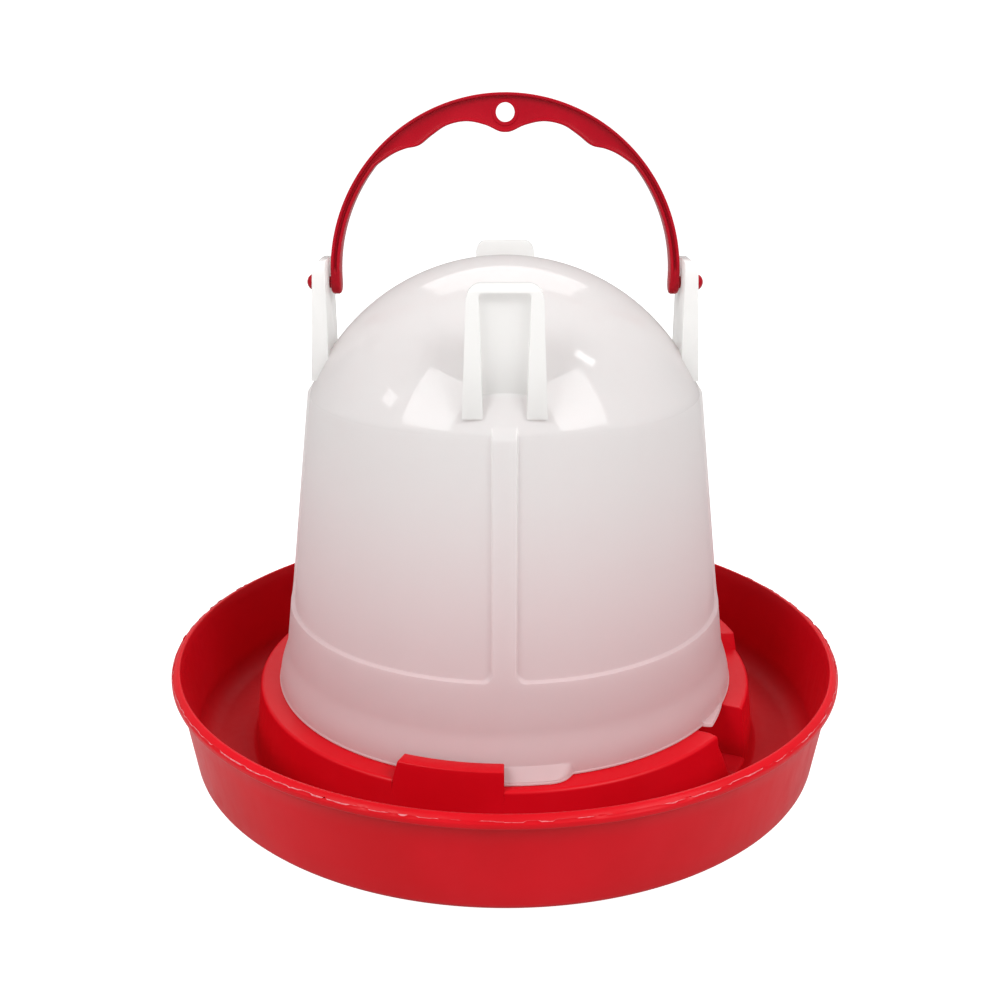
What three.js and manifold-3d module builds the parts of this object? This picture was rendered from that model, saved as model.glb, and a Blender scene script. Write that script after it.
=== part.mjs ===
// Siphon drinker for poultry: a round red tray, a translucent fount that twists into the tray's hooks,
// and a red handle that swings on two legs of the fount.
//
// Millimetres, +Z up. The origin is the centre of the tray's underside and -Y is the front.
// Angles round the axis are degrees from the front, growing towards +X.
//
// The real object is three plastic mouldings. Each moulding is given here as its plain features,
// 0.3 mm apart, so that every node is a simple solid.

import * as THREE from 'three';
import { mergeVertices } from 'three/addons/utils/BufferGeometryUtils.js';
import Module from 'manifold-3d';

const wasm = await Module();
wasm.setup();

// ---------- driving dimensions ----------

const GAP = 0.3;                  // between neighbouring solids
const TURN_SEGMENTS = 60;         // facets round every turned solid
const FAR = 400;                  // longer than the object, for cutting solids

const tray = {
  radius: 156,                    // over the rim
  height: 46,                     // to the crest of the rim
  rimEdge: 43.8,                  // the rim slopes down to this height at its outer edge
  rimFoot: 41.4,                  // underside of the rim
  wallRadius: 153.2,              // outside, just under the rim
  draft: 0.145,                   // radius gained per millimetre of height
  wall: 1.8,
  floor: 2.4,
  cornerRadius: 4,                // where the wall meets the floor, outside
  troughRadius: 10,               // the same corner inside
};

const ledge = {
  top: 32.5,
  outerTop: 116.4,
  outerFoot: 120.6,
  innerTop: 99,
  innerFoot: 96,
  sheet: 2,
  edgeChamfer: 1,
};

// The gap in the ledge that lets the water out. Its near end slopes and its far end is upright.
const outlet = {
  farAngle: 66.2,
  topWidth: 26.5,
  sillWidth: 15.5,
  sill: 8,                        // height of the gap's floor
};

const hook = {
  names: ['front', 'right', 'left'],
  pitch: 120,                     // degrees between the hooks' open ends, the first at the front
  span: 22.8,                     // degrees
  stopSpan: 4.3,                  // the closed part at the far end
  innerRadius: 108.4,
  outerRadius: 115.6,
  wall: 1.4,
  height: 8.1,
  plate: 2.2,
  bevel: 2,                       // slope of the closed end
};

const lug = {
  lead: -18,                      // degrees from the hook's open end
  trail: 14.8,
  outerRadius: 112.6,
  thickness: 3.6,
  cornerRadius: 5,
};

// A small wedge on the fount's foot, over the outlet.
const tab = {
  from: 53.2,                     // degrees
  peak: 54.4,
  to: 66,
  outerRadius: 110.9,
  thickness: 1.6,
};

const fount = {
  baseRadius: 105.2,              // of the cone, at the height of the ledge
  draft: 0.1228,                  // radius lost per millimetre of height
  shoulder: 169.5,                // where the panels meet the dome
  apex: 227.3,
  wall: 2,
  footRadius: 107.2,              // of the thicker band at the foot
  footTop: 45.2,
  panelFoot: 71.5,
  panelDepth: 1.6,
  ribWidth: 9.8,
  ribTop: 168,
  ribEnd: 172.6,                  // where the rib's sloping end runs out on the dome
};

const leg = {
  names: ['front', 'right', 'back', 'left'],
  inner: 76.8,                    // distance of the inner face from the axis
  outerFoot: 84.9,
  outerTop: 82.1,
  foot: 174,
  top: 226.4,
  halfWidthFoot: 16.4,
  halfWidthTop: 14.2,
  cornerRadius: 4.8,
  web: 2.2,
  endWall: 3.4,
  channelHalfFoot: 8.3,
  channelHalfTop: 9.9,
};

const handle = {
  pivot: 216,                     // height of the swinging axis
  archCentre: 219,
  outerRadius: 75.8,
  innerRadius: 71.8,
  depth: 10,
  eyeRadius: 5,                   // round end about the pivot
  rim: 1.3,                       // width of the raised edge
  webThickness: 6.4,
  holeHeight: 286.9,
  holeRadius: 3.95,
  holeBoss: 1.7,
};

const pin = {
  radius: 2.5,
  holeRadius: 2.8,
  headRadius: 3.6,
  headEnd: 86.8,
  headDome: 2.6,                  // length of the domed end
  bossRadius: 5,
};

// ---------- materials ----------

const redPlastic = () => new THREE.MeshStandardMaterial({ color: 0xc4101c, roughness: 0.38, metalness: 0 });
const milkyPlastic = () => new THREE.MeshStandardMaterial({ color: 0xe9dfdd, roughness: 0.3, metalness: 0 });

// ---------- helpers ----------

const radians = THREE.MathUtils.degToRad;

function toSolid(geometry) {
  const bare = geometry.clone();
  bare.deleteAttribute('normal');
  bare.deleteAttribute('uv');
  const merged = mergeVertices(bare);
  const mesh = new wasm.Mesh({
    numProp: 3,
    vertProperties: merged.attributes.position.array,
    triVerts: Uint32Array.from(merged.index.array),
  });
  return new wasm.Manifold(mesh);
}

function toGeometry(solid) {
  const mesh = solid.getMesh();
  const geometry = new THREE.BufferGeometry();
  geometry.setAttribute('position', new THREE.BufferAttribute(mesh.vertProperties, 3));
  geometry.setIndex(new THREE.BufferAttribute(mesh.triVerts, 1));
  return geometry;
}

function named(name, solid, material) {
  const mesh = new THREE.Mesh(toGeometry(solid), material);
  mesh.name = name;
  return mesh;
}

// A solid turned round Z from a closed outline of [radius, height] points, given anticlockwise.
function turned(outline, segments = TURN_SEGMENTS) {
  const points = [...outline, outline[0]].map(([r, z]) => new THREE.Vector2(r, z));
  return toSolid(new THREE.LatheGeometry(points, segments).rotateX(Math.PI / 2));
}

// Points of an arc in the radius and height plane, from one angle to another.
function arcPoints(centreR, centreZ, radius, from, to, steps) {
  const points = [];
  for (let i = 0; i <= steps; i += 1) {
    const angle = radians(from + ((to - from) * i) / steps);
    points.push([centreR + radius * Math.cos(angle), centreZ + radius * Math.sin(angle)]);
  }
  return points;
}

// A shape in the XY plane pushed up from one height to another.
function raised(shape, low, high, curveSegments = 12) {
  const geometry = new THREE.ExtrudeGeometry(shape, { depth: high - low, bevelEnabled: false, curveSegments });
  return toSolid(geometry.translate(0, 0, low));
}

// A shape drawn in X and Z, pushed along Y from near (low Y) to far (high Y).
function pushedBack(shape, near, far, curveSegments = 12) {
  const geometry = new THREE.ExtrudeGeometry(shape, { depth: far - near, bevelEnabled: false, curveSegments });
  return toSolid(geometry.rotateX(Math.PI / 2).translate(0, far, 0));
}

// A shape drawn in Y and Z, pushed along X both ways.
function pushedAcross(shape, halfWidth) {
  const geometry = new THREE.ExtrudeGeometry(shape, { depth: 2 * halfWidth, bevelEnabled: false });
  geometry.translate(0, 0, -halfWidth);
  geometry.rotateX(Math.PI / 2);
  geometry.rotateZ(Math.PI / 2);
  return toSolid(geometry);
}

// A rod or disc along X, between two distances from the axis.
function rodAlongX(radius, from, to, segments = 20) {
  const geometry = new THREE.CylinderGeometry(radius, radius, to - from, segments);
  return toSolid(geometry.rotateZ(Math.PI / 2).translate((from + to) / 2, 0, 0));
}

// Angle from the front, turned into an angle from +X.
const fromX = (degrees) => radians(degrees - 90);

// The slice between two angles round the axis.
function slice(from, to, low = -FAR, high = FAR) {
  const shape = new THREE.Shape();
  shape.moveTo(0, 0);
  shape.lineTo(FAR * Math.cos(fromX(from)), FAR * Math.sin(fromX(from)));
  shape.lineTo(FAR * Math.cos(fromX(to)), FAR * Math.sin(fromX(to)));
  shape.closePath();
  return raised(shape, low, high);
}

// A flat curved block between two radii and two angles.
function curvedBlock(inner, outer, from, to, low, high) {
  const shape = new THREE.Shape();
  shape.absarc(0, 0, outer, fromX(from), fromX(to), false);
  shape.absarc(0, 0, inner, fromX(to), fromX(from), true);
  shape.closePath();
  return raised(shape, low, high, Math.max(2, Math.ceil((to - from) / 4)));
}

// ---------- tray ----------

function trayBasin() {
  const slope = Math.atan(tray.draft);
  const outerAt = (z) => tray.wallRadius - tray.draft * (tray.rimFoot - z);
  const innerAt = (z) => outerAt(z) - tray.wall;
  const tilt = THREE.MathUtils.radToDeg(slope);
  const outerCentre = outerAt(tray.cornerRadius) - tray.cornerRadius / Math.cos(slope);
  const innerCentreZ = tray.floor + tray.troughRadius;
  const innerCentre = innerAt(innerCentreZ) - tray.troughRadius / Math.cos(slope);
  const footRadius = ledge.outerFoot + GAP;
  const rimWidth = tray.radius - innerAt(tray.height);
  return turned([
    [footRadius, 0],
    ...arcPoints(outerCentre, tray.cornerRadius, tray.cornerRadius, -90, -tilt, 3),
    [outerAt(tray.rimFoot), tray.rimFoot],
    [tray.radius, tray.rimFoot],
    [tray.radius, tray.rimEdge],
    [tray.radius - rimWidth / 4, (tray.rimEdge + tray.height) / 2],
    [tray.radius - rimWidth * 0.65, tray.height],
    [innerAt(tray.height), tray.height],
    ...arcPoints(innerCentre, innerCentreZ, tray.troughRadius, -tilt, -90, 4),
    [footRadius, tray.floor],
  ]);
}

// The hollow ledge that carries the fount, open underneath, with a sill across the water outlet.
function ledgeRing() {
  const body = turned([
    [ledge.innerFoot, 0],
    [ledge.outerFoot, 0],
    [ledge.outerTop, ledge.top - ledge.edgeChamfer],
    [ledge.outerTop - ledge.edgeChamfer, ledge.top],
    [ledge.innerTop, ledge.top],
  ]);
  const under = ledge.top - ledge.sheet;
  const hollow = turned([
    [ledge.innerFoot + ledge.sheet, -1],
    [ledge.outerFoot - ledge.sheet, -1],
    [ledge.outerTop - ledge.sheet, under],
    [ledge.innerTop + ledge.sheet, under],
  ]);
  return body.subtract(hollow.subtract(outletCutter(ledge.sheet))).subtract(outletCutter(0));
}

// The space of the outlet, grown by a margin at its ends and under its floor.
function outletCutter(margin) {
  const widening = (outlet.topWidth - outlet.sillWidth) / (ledge.top - outlet.sill);
  const low = outlet.sill - margin;
  const high = ledge.top + 1;
  const nearAt = (z) => -outlet.sillWidth - widening * (z - outlet.sill) - margin;
  const shape = new THREE.Shape([
    new THREE.Vector2(nearAt(low), low),
    new THREE.Vector2(margin, low),
    new THREE.Vector2(margin, high),
    new THREE.Vector2(nearAt(high), high),
  ]);
  return pushedBack(shape, -FAR, 0).rotate([0, 0, outlet.farAngle]);
}

function centreFloor() {
  const radius = ledge.innerFoot - GAP;
  const chamfer = 0.6;
  return turned([
    [0, 0],
    [radius, 0],
    [radius, tray.floor - chamfer],
    [radius - chamfer, tray.floor],
    [0, tray.floor],
  ]);
}

// A hook is a curved cover over the ledge, open at one end and closed by a sloping stop at the other.
function lockingHook(stopAngle) {
  const low = ledge.top + GAP;
  const high = ledge.top + hook.height;
  const start = stopAngle - hook.span;
  const cover = curvedBlock(hook.innerRadius, hook.outerRadius, start, stopAngle, low, high);
  const pocket = curvedBlock(
    hook.innerRadius - 1, hook.outerRadius - hook.wall,
    start + hook.stopSpan, stopAngle + 1, low - 1, high - hook.plate,
  );
  return cover.subtract(pocket).subtract(hookBevel(start, low, high));
}

// Wedge that slopes the closed end of a hook.
function hookBevel(start, low, high) {
  const shape = new THREE.Shape([
    new THREE.Vector2(-FAR, low),
    new THREE.Vector2(0, low),
    new THREE.Vector2(hook.bevel, high),
    new THREE.Vector2(hook.bevel, high + 1),
    new THREE.Vector2(-FAR, high + 1),
  ]);
  return pushedBack(shape, -FAR, 0).rotate([0, 0, start]);
}

// ---------- fount ----------

const coneAt = (z) => fount.baseRadius - fount.draft * (z - ledge.top);
const panelAt = (z) => coneAt(z) - fount.panelDepth;

// The dome is part of a sphere through the head of the panels and the apex.
function domeSphere() {
  const rise = fount.apex - fount.shoulder;
  const radius = (panelAt(fount.shoulder) ** 2 + rise ** 2) / (2 * rise);
  return { radius, centre: fount.apex - radius };
}

function domeRadiusAt(z) {
  const sphere = domeSphere();
  return Math.sqrt(sphere.radius ** 2 - (z - sphere.centre) ** 2);
}

// Outline of the dome from the shoulder to the apex, grown or shrunk by an offset.
function domePoints(offset, shoulderZ, steps) {
  const sphere = domeSphere();
  const radius = sphere.radius + offset;
  const from = THREE.MathUtils.radToDeg(Math.asin((shoulderZ - sphere.centre) / radius));
  const points = arcPoints(0, sphere.centre, radius, from, 90, steps);
  points[steps][0] = 0;
  return points;
}

function fountShell() {
  const bottom = ledge.top + GAP;
  const stepLow = fount.panelFoot - fount.wall;
  const outer = [
    [fount.footRadius, bottom],
    ...footCurve(),
    [coneAt(fount.panelFoot), fount.panelFoot],
    [panelAt(fount.panelFoot), fount.panelFoot],
    ...domePoints(0, fount.shoulder, 8),
  ];
  const inner = [
    ...domePoints(-fount.wall, fount.shoulder - fount.wall / 2, 7).reverse(),
    [panelAt(stepLow) - fount.wall, stepLow],
    [coneAt(stepLow - fount.panelDepth) - fount.wall, stepLow - fount.panelDepth],
    [coneAt(bottom) - fount.wall, bottom],
  ];
  return turned([...outer, ...inner]).add(ribs()).add(outletTab());
}

// Upper edge of the thicker band round the foot: upright at first, then leaning over on to the cone.
function footCurve() {
  const curve = new THREE.CubicBezierCurve(
    new THREE.Vector2(fount.footRadius - 0.1, ledge.top + 4),
    new THREE.Vector2(fount.footRadius - 0.3, fount.footTop - 3),
    new THREE.Vector2(coneAt(fount.footTop) + 1, fount.footTop - 2),
    new THREE.Vector2(coneAt(fount.footTop), fount.footTop),
  );
  return curve.getPoints(4).map((point) => [point.x, point.y]);
}

// Four plain ribs between the panels, one under each leg, with sloping upper ends.
function ribs() {
  const skin = 0.02;                // keeps the rib's face off the face of the cone below it
  const inside = fount.wall / 2;
  const low = fount.panelFoot - 1;
  const band = turned([
    [panelAt(low) - inside, low],
    [coneAt(low) - skin, low],
    [coneAt(fount.ribTop) - skin, fount.ribTop],
    [domeRadiusAt(fount.ribEnd) - inside / 4, fount.ribEnd],
    [panelAt(fount.ribTop) - inside, fount.ribTop],
  ]);
  const rib = toSolid(new THREE.BoxGeometry(fount.ribWidth, FAR, FAR));
  return band.intersect(rib.add(rib.rotate([0, 0, 90])));
}

// A thin wedge standing out from the foot, widest near one end.
function outletTab() {
  const low = ledge.top + GAP;
  const at = (radius, angle) => new THREE.Vector2(
    radius * Math.cos(fromX(angle)), radius * Math.sin(fromX(angle)),
  );
  const root = fount.footRadius - fount.wall;
  const middle = (tab.peak + tab.to) / 2;
  const shape = new THREE.Shape([
    at(root, tab.from),
    at(fount.footRadius, tab.from),
    at(tab.outerRadius, tab.peak),
    at((tab.outerRadius + fount.footRadius) / 2, middle),
    at(fount.footRadius, tab.to),
    at(root, tab.to),
    at(root, middle),
  ]);
  return raised(shape, low, low + tab.thickness);
}

// The outer form of the fount, filled and grown by the gap, to trim what stands on it.
function fountTrimmer() {
  return turned([
    [0, fount.panelFoot],
    [coneAt(fount.panelFoot) + GAP, fount.panelFoot],
    [coneAt(fount.ribTop) + GAP, fount.ribTop],
    ...domePoints(GAP, fount.ribEnd, 12),
  ]);
}

function legOutline(halfFoot, halfTop, foot, top, corner) {
  const shape = new THREE.Shape();
  shape.moveTo(-halfFoot, foot);
  shape.lineTo(halfFoot, foot);
  shape.lineTo(halfTop, top - corner);
  shape.quadraticCurveTo(halfTop, top, halfTop - corner, top);
  shape.lineTo(corner - halfTop, top);
  shape.quadraticCurveTo(-halfTop, top, -halfTop, top - corner);
  shape.closePath();
  return shape;
}

// Distance of a leg's outer face from the axis at a height.
function legOuterAt(z) {
  const part = (z - leg.foot) / (leg.top - leg.foot);
  return leg.outerFoot + (leg.outerTop - leg.outerFoot) * part;
}

// The front leg: a channel that opens outwards and is closed at its top end.
function frontLeg() {
  const outline = legOutline(leg.halfWidthFoot, leg.halfWidthTop, leg.foot, leg.top, leg.cornerRadius);
  const side = new THREE.Shape([
    new THREE.Vector2(-leg.outerFoot, leg.foot),
    new THREE.Vector2(-leg.inner, leg.foot),
    new THREE.Vector2(-leg.inner, leg.top),
    new THREE.Vector2(-leg.outerTop, leg.top),
  ]);
  const channelTop = leg.top - leg.endWall;
  const channel = legOutline(leg.channelHalfFoot, leg.channelHalfTop, leg.foot - 1, channelTop, 1.5);
  const body = pushedBack(outline, -FAR / 2, 0, 3).intersect(pushedAcross(side, FAR / 4));
  const hollow = pushedBack(channel, -FAR / 2, -leg.inner - leg.web, 2);
  return body.subtract(hollow).subtract(fountTrimmer());
}

// A side leg carries the handle: its web and a boss inside the channel are bored for the pin.
function sideLeg(quarterTurns) {
  const plain = frontLeg().rotate([0, 0, 90 * quarterTurns]);
  const sign = quarterTurns === 1 ? 1 : -1;
  const bossEnd = legOuterAt(handle.pivot);
  const boss = rodAlongX(pin.bossRadius, leg.inner + 1, bossEnd, 16);
  const bore = rodAlongX(pin.holeRadius, leg.inner - 5, leg.outerFoot + 5, 16);
  const turn = sign === 1 ? 0 : 180;
  const placed = (solid) => solid.rotate([0, 0, turn]).translate([0, 0, handle.pivot]);
  return plain.add(placed(boss)).subtract(placed(bore));
}

// A lug is a flat tongue on the flange that slides under a hook.
function lockingLug(stopAngle) {
  const low = ledge.top + GAP;
  const inner = fount.footRadius + GAP;
  const from = stopAngle + lug.lead;
  const to = stopAngle + lug.trail;
  const rounding = THREE.MathUtils.radToDeg(lug.cornerRadius / lug.outerRadius);
  const shape = new THREE.Shape();
  shape.absarc(0, 0, lug.outerRadius, fromX(from), fromX(to - rounding), false);
  const corner = fromX(to);
  const shoulder = lug.outerRadius - lug.cornerRadius;
  shape.quadraticCurveTo(
    lug.outerRadius * Math.cos(corner), lug.outerRadius * Math.sin(corner),
    shoulder * Math.cos(corner), shoulder * Math.sin(corner),
  );
  shape.absarc(0, 0, inner, fromX(to), fromX(from), true);
  shape.closePath();
  return raised(shape, low, low + lug.thickness, 8);
}

// ---------- handle ----------

// Points of the handle's outer edge, from the right pivot over the top to the left one.
function handleOuterEdge(steps) {
  const arch = arcPoints(0, handle.archCentre, handle.outerRadius, 0, 180, steps);
  return [[handle.outerRadius, handle.pivot], ...arch, [-handle.outerRadius, handle.pivot]];
}

// Points of the inner edge: plain arms, then two finger grooves with a bump under the hole.
function handleInnerEdge() {
  const arm = arcPoints(0, handle.archCentre, handle.innerRadius, 0, 40, 8);
  const grip = new THREE.SplineCurve([
    new THREE.Vector2(...arm[8]),
    new THREE.Vector2(48, 269.8),
    new THREE.Vector2(42, 272.2),
    new THREE.Vector2(36.5, 273.5),
    new THREE.Vector2(31, 277.6),
    new THREE.Vector2(24.5, 281.6),
    new THREE.Vector2(16.3, 283.2),
    new THREE.Vector2(8.5, 281.8),
    new THREE.Vector2(3, 279.4),
    new THREE.Vector2(0, 278.9),
  ]).getPoints(24).slice(1).map((p) => [p.x, p.y]);
  const half = [[handle.innerRadius, handle.pivot], ...arm, ...grip];
  const mirrored = half.slice(0, -1).reverse().map(([x, z]) => [-x, z]);
  return [...half, ...mirrored];
}

// The closed outline moved inwards by a distance, along the mean normal at each point.
function inset(points, distance) {
  const count = points.length;
  return points.map(([x, z], i) => {
    const [px, pz] = points[(i + count - 1) % count];
    const [nx, nz] = points[(i + 1) % count];
    const before = new THREE.Vector2(x - px, z - pz).normalize();
    const after = new THREE.Vector2(nx - x, nz - z).normalize();
    const along = before.clone().add(after).normalize();
    const reach = distance / Math.max(0.5, along.dot(after));
    return [x - along.y * reach, z + along.x * reach];
  });
}

const polygon = (points) => new THREE.Shape(points.map(([x, z]) => new THREE.Vector2(x, z)));

function handleBow() {
  const half = handle.depth / 2;
  const edge = [...handleOuterEdge(30), ...handleInnerEdge().reverse()];
  const bar = pushedBack(polygon(edge), -half, half);
  const pocketShape = polygon(inset(edge, handle.rim));
  const frontPocket = pushedBack(pocketShape, -half - 1, -handle.webThickness / 2);
  const backPocket = pushedBack(pocketShape, handle.webThickness / 2, half + 1);
  const eye = rodAlongX(handle.eyeRadius, handle.innerRadius, handle.outerRadius);
  const rightEye = eye.translate([0, 0, handle.pivot]);
  const leftEye = eye.rotate([0, 0, 180]).translate([0, 0, handle.pivot]);
  const boss = diskAlongY(handle.holeRadius + handle.holeBoss, half - 0.4);
  const hole = diskAlongY(handle.holeRadius, half + 1);
  return bar.subtract(frontPocket).subtract(backPocket)
    .add(rightEye).add(leftEye).add(boss).subtract(hole);
}

// A round disc at the hanging hole, with its axis along Y.
function diskAlongY(radius, halfLength) {
  const geometry = new THREE.CylinderGeometry(radius, radius, 2 * halfLength, 20);
  return toSolid(geometry.translate(0, 0, handle.holeHeight));
}

// The pin runs through the leg and ends in a domed snap head outside it.
function handlePin(side) {
  const start = handle.outerRadius + GAP;
  const headStart = legOuterAt(handle.pivot) + 0.4;
  const outline = [
    [0, start],
    [pin.radius, start],
    [pin.radius, headStart],
    [pin.headRadius, headStart],
    [pin.headRadius, pin.headEnd - pin.headDome],
    [pin.headRadius * 0.75, pin.headEnd - pin.headDome / 4],
    [pin.headRadius * 0.35, pin.headEnd],
    [0, pin.headEnd],
  ];
  return turned(outline, 20).rotate([0, 90 * side, 0]).translate([0, 0, handle.pivot]);
}

// ---------- assembly ----------

const drinker = new THREE.Group();

const trayGroup = new THREE.Group();
trayGroup.add(named('tray_basin', trayBasin(), redPlastic()));
trayGroup.add(named('ledge_ring', ledgeRing(), redPlastic()));
trayGroup.add(named('centre_floor', centreFloor(), redPlastic()));
hook.names.forEach((side, i) => {
  trayGroup.add(named(`locking_hook_${side}`, lockingHook(hook.pitch * i), redPlastic()));
});

const fountGroup = new THREE.Group();
fountGroup.add(named('fount_shell', fountShell(), milkyPlastic()));
hook.names.forEach((side, i) => {
  fountGroup.add(named(`locking_lug_${side}`, lockingLug(hook.pitch * i), milkyPlastic()));
});
leg.names.forEach((side, i) => {
  const solid = i % 2 === 1 ? sideLeg(i) : frontLeg().rotate([0, 0, 90 * i]);
  fountGroup.add(named(`leg_${side}`, solid, milkyPlastic()));
});

const handleGroup = new THREE.Group();
handleGroup.add(named('handle_bow', handleBow(), redPlastic()));
handleGroup.add(named('handle_pin_right', handlePin(1), redPlastic()));
handleGroup.add(named('handle_pin_left', handlePin(-1), redPlastic()));

drinker.add(trayGroup, fountGroup, handleGroup);

export default drinker;
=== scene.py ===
# Siphon drinker for poultry: the looks of its three plastic mouldings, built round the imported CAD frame.
#
# Sizes below are millimetres and become metres when a mesh is made. The origin is the centre of the
# tray's underside, +Z is up and -Y is the front. Angles round the axis are degrees from the front,
# growing towards +X.

import math
import random

import bmesh
import bpy
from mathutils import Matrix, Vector


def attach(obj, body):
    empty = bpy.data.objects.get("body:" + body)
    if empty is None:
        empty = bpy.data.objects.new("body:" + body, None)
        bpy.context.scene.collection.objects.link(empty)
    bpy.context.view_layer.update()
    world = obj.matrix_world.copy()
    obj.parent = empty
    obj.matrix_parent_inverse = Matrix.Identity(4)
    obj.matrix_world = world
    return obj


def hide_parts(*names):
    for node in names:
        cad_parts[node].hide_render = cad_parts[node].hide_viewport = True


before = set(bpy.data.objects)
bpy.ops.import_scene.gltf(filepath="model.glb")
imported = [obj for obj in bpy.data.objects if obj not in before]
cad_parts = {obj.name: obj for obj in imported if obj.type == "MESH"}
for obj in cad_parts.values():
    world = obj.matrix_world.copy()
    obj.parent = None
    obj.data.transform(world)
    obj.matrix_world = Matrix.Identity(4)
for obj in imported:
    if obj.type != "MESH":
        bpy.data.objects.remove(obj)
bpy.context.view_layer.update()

MM = 0.001

# ---------- driving dimensions ----------

TRAY_RADIUS = 156
TRAY_HEIGHT = 46
RIM_FOOT = 41.4             # underside of the rim's lip
WALL_RADIUS = 153.2         # outside of the wall, just under the lip
WALL_DRAFT = 0.145          # radius gained per millimetre of height
WALL = 1.8
FLOOR = 2.4
TROUGH_RADIUS = 10
CORNER_RADIUS = 4
FLASH_EDGE = 0.55           # how far the flash lies inside the rim's widest radius
FLASH_DROP = 1.6            # and how far below the rim's top
GATE_RADIUS = 12            # of the shallow recess round the moulding gate
GATE_DEPTH = 0.8
GATE_STUB = 4

LEDGE_TOP = 32.5
LEDGE_OUTER_TOP = 116.4
LEDGE_OUTER_FOOT = 120.6
LEDGE_INNER_TOP = 99
LEDGE_INNER_FOOT = 96
LEDGE_SHEET = 2
LEDGE_EDGE = 1.4            # radius of its outer top edge
LEDGE_FLAT = 103            # radius where the flat top begins

OUTLET_FAR = 66.2           # angle of the gap's upright end
OUTLET_TOP_WIDTH = 26.5
OUTLET_SILL_WIDTH = 15.5
OUTLET_SILL = 8
OUTLET_CORNER = 6.5         # radius of the near end's upright corner
OUTLET_BRINK = 3.2          # radius of the near end's top edge
OUTLET_FOOT = 1.2           # radius where the near end meets the sill
OUTLET_MIDDLE = 118         # radius at which the near end's angles are taken
LEAN_FROM = 38              # angle where the sections begin to lean towards the gap's parallel sides
LOW_FROM = 49.6             # between these angles the ledge's hollow stays under the sill
LOW_TO = OUTLET_FAR + 1.3

HOOK_STOPS = (0, 120, 240)
HOOK_SPAN = 22.8
HOOK_CLOSED = 4.3           # span of the closed part
HOOK_INNER = 108.4
HOOK_POCKET = 113.8
HOOK_TOP = 40.6
HOOK_UNDER = 38.4
HOOK_LEAN = 1.0             # degrees that the closed end leans over
HOOK_EDGE = 0.5
HOOK_MIDDLE = 112           # radius at which the hooks' ends are measured

LUG_REACH = 5.4             # how far a lug stands out from the foot
LUG_FROM = -18              # angles from a hook's stop: a lug begins, is full, starts to fade and ends
LUG_FULL = -15
LUG_FADE = 9
LUG_TO = 14.9
LUG_TOP = 38
TAB_FROM = 53.2
TAB_PEAK = 54.4
TAB_TO = 66
TAB_REACH = 3.7
TAB_HEIGHT = 1.7

FOUNT_FOOT = 32.8           # lower edge of the fount
FOOT_RADIUS = 107.2
FOOT_DRAFT = 0.02
FOOT_BAND = 33.6            # height up to which the foot is upright
FOOT_FLARE = 51             # height where the foot's flare begins
CONE_RADIUS = 105.2         # of the cone, at the height of the ledge
CONE_DRAFT = 0.1228
SHOULDER = 169.5
APEX = 227.3
FOUNT_WALL = 2
PANEL_FOOT = 71.5
PANEL_DEPTH = 1.6
PANEL_CORNER = 4.5
RIB_HALF = 4.9
RIB_TOP = 168
RIB_END = 172.6
RIB_MEET = 86               # inside this radius the ribs' columns draw together

LEG_INNER = 76.8
LEG_OUTER_FOOT = 84.5
LEG_OUTER_TOP = 82.1
LEG_FOOT = 175.3
LEG_TOP = 226.4
LEG_HALF_FOOT = 16.4
LEG_HALF_TOP = 14.4
LEG_CORNER = 5.6
LEG_CREST = 3.2             # radius of the top's outer edge
LEG_WEB = 2.2
LEG_END_WALL = 3.4
LEG_EDGE = 0.5
CHANNEL_HALF_FOOT = 8.3
CHANNEL_HALF_TOP = 9.9

PIVOT = 216
ARCH_CENTRE = 219
ARCH_OUTER = 75.8
ARCH_INNER = 71.8
HANDLE_DEPTH = 10
HANDLE_RIM = 1.3
HANDLE_WEB = 7
EYE_RADIUS = 5.1
EYE_PROUD = 0.15            # how far the eye stands out from the arm's flat sides
HOLE_HEIGHT = 286.9
HOLE_RADIUS = 3.95
HOLE_BOSS = 1.7
HOLE_PROUD = 0.2            # how far its boss stands out from the web
PIN_RADIUS = 2.6
PIN_BORE = 2.8
PIN_BOSS = 5
PIN_HEAD = 3.6
PIN_END = 86.8


# ---------- plain helpers ----------

def polar(radius, z, angle):
    a = math.radians(angle)
    return (radius * math.sin(a), -radius * math.cos(a), z)


def mix(a, b, t):
    return a + (b - a) * t


def smooth(low, high, x):
    t = min(1, max(0, (x - low) / (high - low)))
    return t * t * (3 - 2 * t)


def arc(centre_r, centre_z, radius, start, end, steps):
    """Points of an arc in the radius and height plane, both ends included."""
    points = []
    for i in range(steps + 1):
        a = math.radians(mix(start, end, i / steps))
        points.append((centre_r + radius * math.cos(a), centre_z + radius * math.sin(a)))
    return points


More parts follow.
